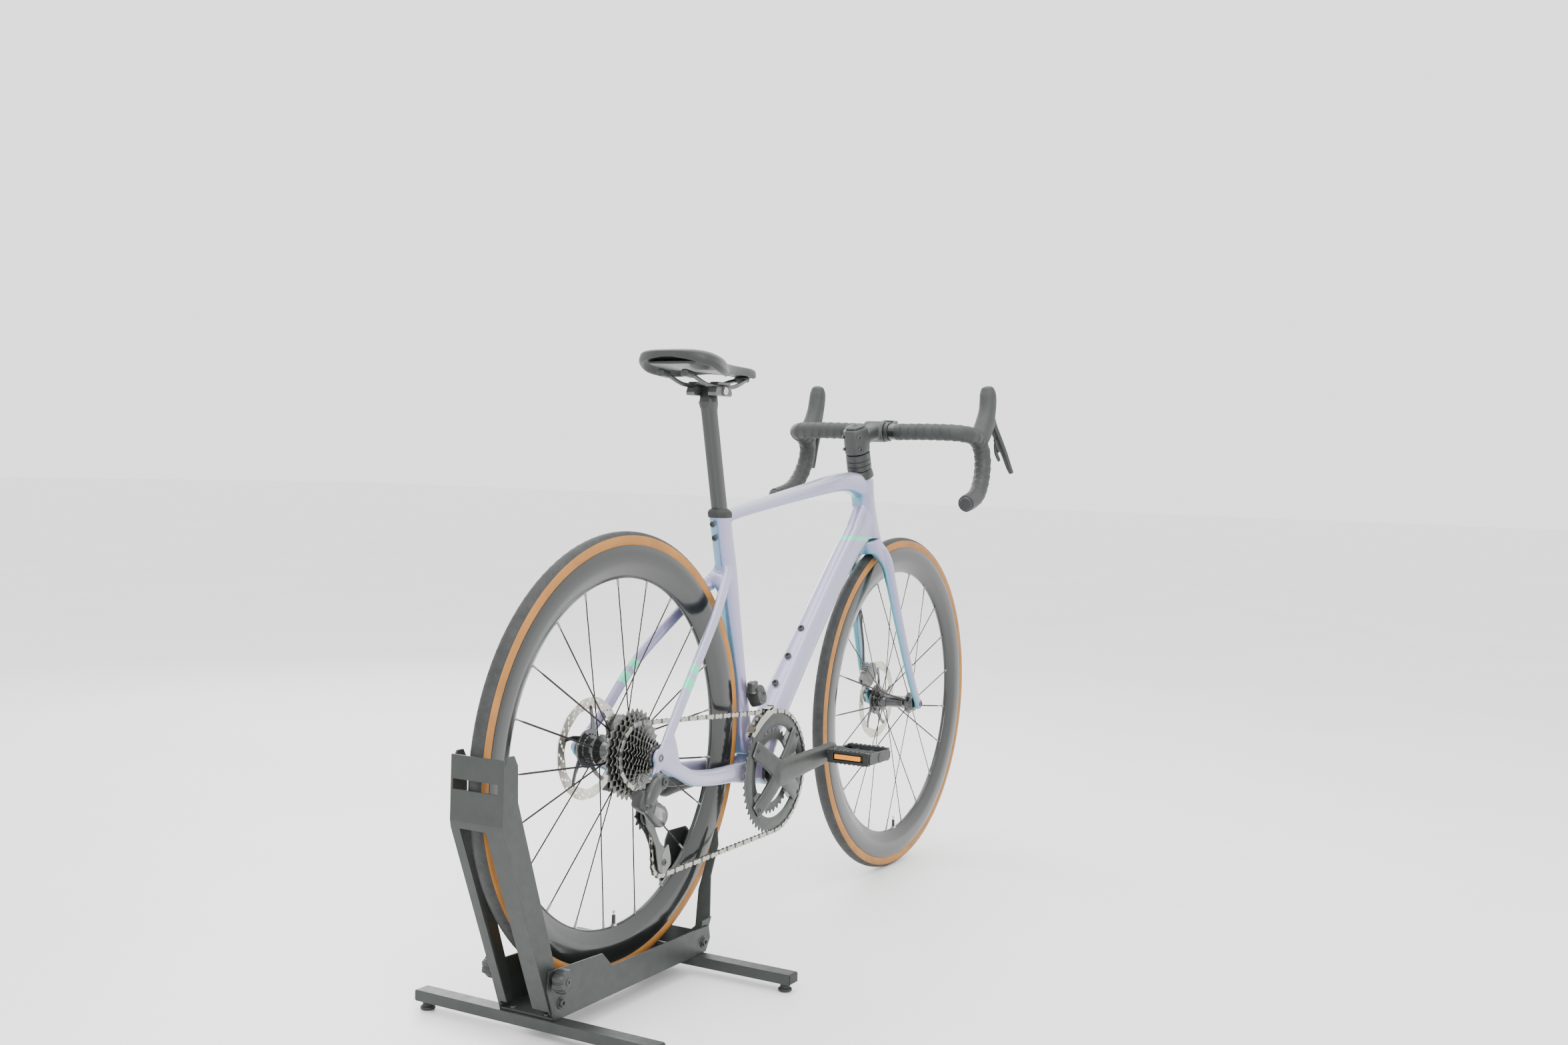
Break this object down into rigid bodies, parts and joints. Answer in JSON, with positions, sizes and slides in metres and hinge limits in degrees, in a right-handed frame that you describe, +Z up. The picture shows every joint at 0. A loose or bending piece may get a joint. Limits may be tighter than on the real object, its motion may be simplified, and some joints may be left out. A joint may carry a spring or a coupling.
{
  "type": "bicycle on stand",
  "caption": "Road bicycle with disc brakes and drop handlebar, its rear wheel held in a folding display stand.",
  "frame": {"origin": "centre of the bounding box, on the floor", "axes": "+X forward (front wheel), +Y the rider's left, +Z up"},
  "size_m": [1.6708, 0.4616, 0.996],
  "materials": {
    "frame_paint": "satin",
    "stand_powder_coat": "matte",
    "stand_rubber": "matte",
    "black_plastic": "matte",
    "tyre_rubber": "matte",
    "gloss_carbon": "gloss",
    "satin_carbon": "satin",
    "black_anodised": "satin",
    "rotor_steel": "brushed",
    "saddle_cover": "matte",
    "rail_metal": "satin",
    "bar_tape": "matte",
    "hood_rubber": "matte",
    "hose": "matte",
    "cassette_steel": "satin",
    "crank_alloy": "satin",
    "chain_steel": "satin"
  },
  "bodies": {
    "stand_base": {"stand_channel": "stand_powder_coat", "stand_rear_bar": "stand_powder_coat", "stand_front_bar": "stand_powder_coat", "stand_foot_rear_left": "stand_rubber", "stand_foot_rear_right": "stand_rubber", "stand_foot_front_left": "stand_rubber", "stand_foot_front_right": "stand_rubber"},
    "rear_arm": {"stand_rear_arm": "stand_powder_coat"},
    "front_arm": {"stand_front_arm": "stand_powder_coat"},
    "knob_left": {"stand_knob_left": "black_plastic"},
    "knob_right": {"stand_knob_right": "black_plastic"},
    "bicycle": {"frame_seat_tube": "frame_paint", "frame_head_tube": "frame_paint", "frame_down_tube": "frame_paint", "frame_top_tube": "frame_paint", "frame_chainstay_right": "frame_paint", "frame_chainstay_left": "frame_paint", "frame_seatstay_right": "frame_paint", "frame_seatstay_left": "frame_paint", "rear_axle": "black_anodised", "rear_brake_calliper": "black_anodised", "rear_derailleur_base": "crank_alloy", "rear_derailleur_link": "crank_alloy", "front_derailleur_body": "crank_alloy", "chain": "chain_steel"},
    "steering": {"fork": "frame_paint", "headset_spacers": "black_plastic", "stem": "black_anodised", "handlebar": "bar_tape", "brake_hood_left": "hood_rubber", "brake_hood_right": "hood_rubber", "front_axle": "black_anodised", "front_brake_calliper": "black_anodised", "front_brake_hose": "hose"},
    "lever_left": {"brake_lever_left": "satin_carbon"},
    "lever_right": {"brake_lever_right": "satin_carbon"},
    "shifter_left": {"shift_buttons_left": "black_plastic"},
    "shifter_right": {"shift_buttons_right": "black_plastic"},
    "front_wheel": {"front_tyre": "tyre_rubber", "front_rim": "gloss_carbon", "front_hub_and_spokes": "black_anodised", "front_brake_rotor": "rotor_steel"},
    "rear_wheel": {"rear_tyre": "tyre_rubber", "rear_rim": "gloss_carbon", "rear_hub_and_spokes": "black_anodised", "rear_brake_rotor": "rotor_steel"},
    "freewheel": {"cassette": "cassette_steel"},
    "crankset": {"crank_right": "crank_alloy", "crank_left": "crank_alloy", "chainrings": "crank_alloy"},
    "pedal_body_right": {"pedal_right": "black_plastic"},
    "pedal_body_left": {"pedal_left": "black_plastic"},
    "derailleur_cage": {"rear_derailleur_cage": "crank_alloy"},
    "guide_wheel": {"guide_pulley": "black_plastic"},
    "tension_wheel": {"tension_pulley": "black_plastic"},
    "front_mech_cage": {"front_derailleur_cage": "rotor_steel"},
    "seat_post": {"seatpost": "satin_carbon", "saddle_clamp": "black_anodised"},
    "saddle_body": {"saddle": "saddle_cover", "saddle_rails": "rail_metal"}
  },
  "joints": [
    {"name": "rear_arm_tilt", "type": "hinge", "parent": "stand_base", "child": "rear_arm", "pos_m": [-0.70791, -0.01083, 0.05], "axis": [0, -1, 0], "range_deg": [0, 22]},
    {"name": "front_arm_tilt", "type": "hinge", "parent": "stand_base", "child": "front_arm", "pos_m": [-0.31491, -0.01083, 0.041], "axis": [0, 1, 0], "range_deg": [0, 45]},
    {"name": "knob_left_turn", "type": "hinge", "parent": "stand_base", "child": "knob_left", "pos_m": [-0.71591, 0.03917, 0.0893], "axis": [0, 1, 0], "continuous": true},
    {"name": "knob_right_turn", "type": "hinge", "parent": "stand_base", "child": "knob_right", "pos_m": [-0.71591, -0.06083, 0.0893], "axis": [0, 1, 0], "continuous": true},
    {"name": "bicycle_lift", "type": "slide", "parent": "stand_base", "child": "bicycle", "axis": [0, 0, 1], "range_m": [0, 0.4]},
    {"name": "steering_turn", "type": "hinge", "parent": "bicycle", "child": "steering", "pos_m": [0.30709, 0.00217, 0.809], "axis": [-0.2924, 0, 0.9563], "range_deg": [-45, 45]},
    {"name": "brake_lever_left_pull", "type": "hinge", "parent": "steering", "child": "lever_left", "pos_m": [0.47738, 0.19517, 0.943], "axis": [0, 1, 0], "range_deg": [0, 15], "stiffness_Nm_per_rad": 1.2, "springref_deg": -2.86},
    {"name": "brake_lever_right_pull", "type": "hinge", "parent": "steering", "child": "lever_right", "pos_m": [0.47738, -0.19083, 0.943], "axis": [0, 1, 0], "range_deg": [0, 15], "stiffness_Nm_per_rad": 1.2, "springref_deg": -2.86},
    {"name": "shift_left_press", "type": "hinge", "parent": "lever_left", "child": "shifter_left", "pos_m": [0.49138, 0.20517, 0.905], "axis": [0, 1, 0], "range_deg": [0, 5], "stiffness_Nm_per_rad": 0.2, "springref_deg": -2.86},
    {"name": "shift_right_press", "type": "hinge", "parent": "lever_right", "child": "shifter_right", "pos_m": [0.49138, -0.20083, 0.905], "axis": [0, 1, 0], "range_deg": [0, 5], "stiffness_Nm_per_rad": 0.2, "springref_deg": -2.86},
    {"name": "front_wheel_spin", "type": "hinge", "parent": "steering", "child": "front_wheel", "pos_m": [0.49659, 0.00217, 0.3395], "axis": [0, 1, 0], "continuous": true},
    {"name": "rear_wheel_spin", "type": "hinge", "parent": "bicycle", "child": "rear_wheel", "pos_m": [-0.48991, 0.00217, 0.3695], "axis": [0, 1, 0], "continuous": true},
    {"name": "freewheel_spin", "type": "hinge", "parent": "bicycle", "child": "freewheel", "pos_m": [-0.48991, 0.00217, 0.3695], "axis": [0, 1, 0], "continuous": true},
    {"name": "crank_spin", "type": "hinge", "parent": "bicycle", "child": "crankset", "pos_m": [-0.08191, 0.00217, 0.285], "axis": [0, 1, 0], "continuous": true},
    {"name": "pedal_right_spin", "type": "hinge", "parent": "crankset", "child": "pedal_body_right", "pos_m": [0.09003, -0.11783, 0.29883], "axis": [0, 1, 0], "continuous": true},
    {"name": "pedal_left_spin", "type": "hinge", "parent": "crankset", "child": "pedal_body_left", "pos_m": [-0.25385, 0.12217, 0.27117], "axis": [0, 1, 0], "continuous": true},
    {"name": "derailleur_cage_swing", "type": "hinge", "parent": "bicycle", "child": "derailleur_cage", "pos_m": [-0.46991, -0.03449, 0.276], "axis": [0, 1, 0], "range_deg": [-8, 8], "stiffness_Nm_per_rad": 1.5, "deforming": ["chain"]},
    {"name": "guide_pulley_spin", "type": "hinge", "parent": "derailleur_cage", "child": "guide_wheel", "pos_m": [-0.46991, -0.03449, 0.276], "axis": [0, 1, 0], "continuous": true},
    {"name": "tension_pulley_spin", "type": "hinge", "parent": "derailleur_cage", "child": "tension_wheel", "pos_m": [-0.41991, -0.03449, 0.192], "axis": [0, 1, 0], "continuous": true},
    {"name": "front_mech_trim", "type": "slide", "parent": "bicycle", "child": "front_mech_cage", "axis": [0, 1, 0], "range_m": [-0.001, 0.0015]},
    {"name": "seat_height", "type": "slide", "parent": "bicycle", "child": "seat_post", "axis": [-0.247, 0, 0.969], "range_m": [-0.045, 0.02]},
    {"name": "saddle_fore_aft", "type": "slide", "parent": "seat_post", "child": "saddle_body", "axis": [1, 0, 0], "range_m": [-0.012, 0.012]}
  ],
  "couplings": [
    {"joint": "freewheel_spin", "follows": "crank_spin", "ratio": 2.1667},
    {"joint": "guide_pulley_spin", "follows": "crank_spin", "ratio": -4.7273},
    {"joint": "tension_pulley_spin", "follows": "crank_spin", "ratio": 4.7273}
  ]
}
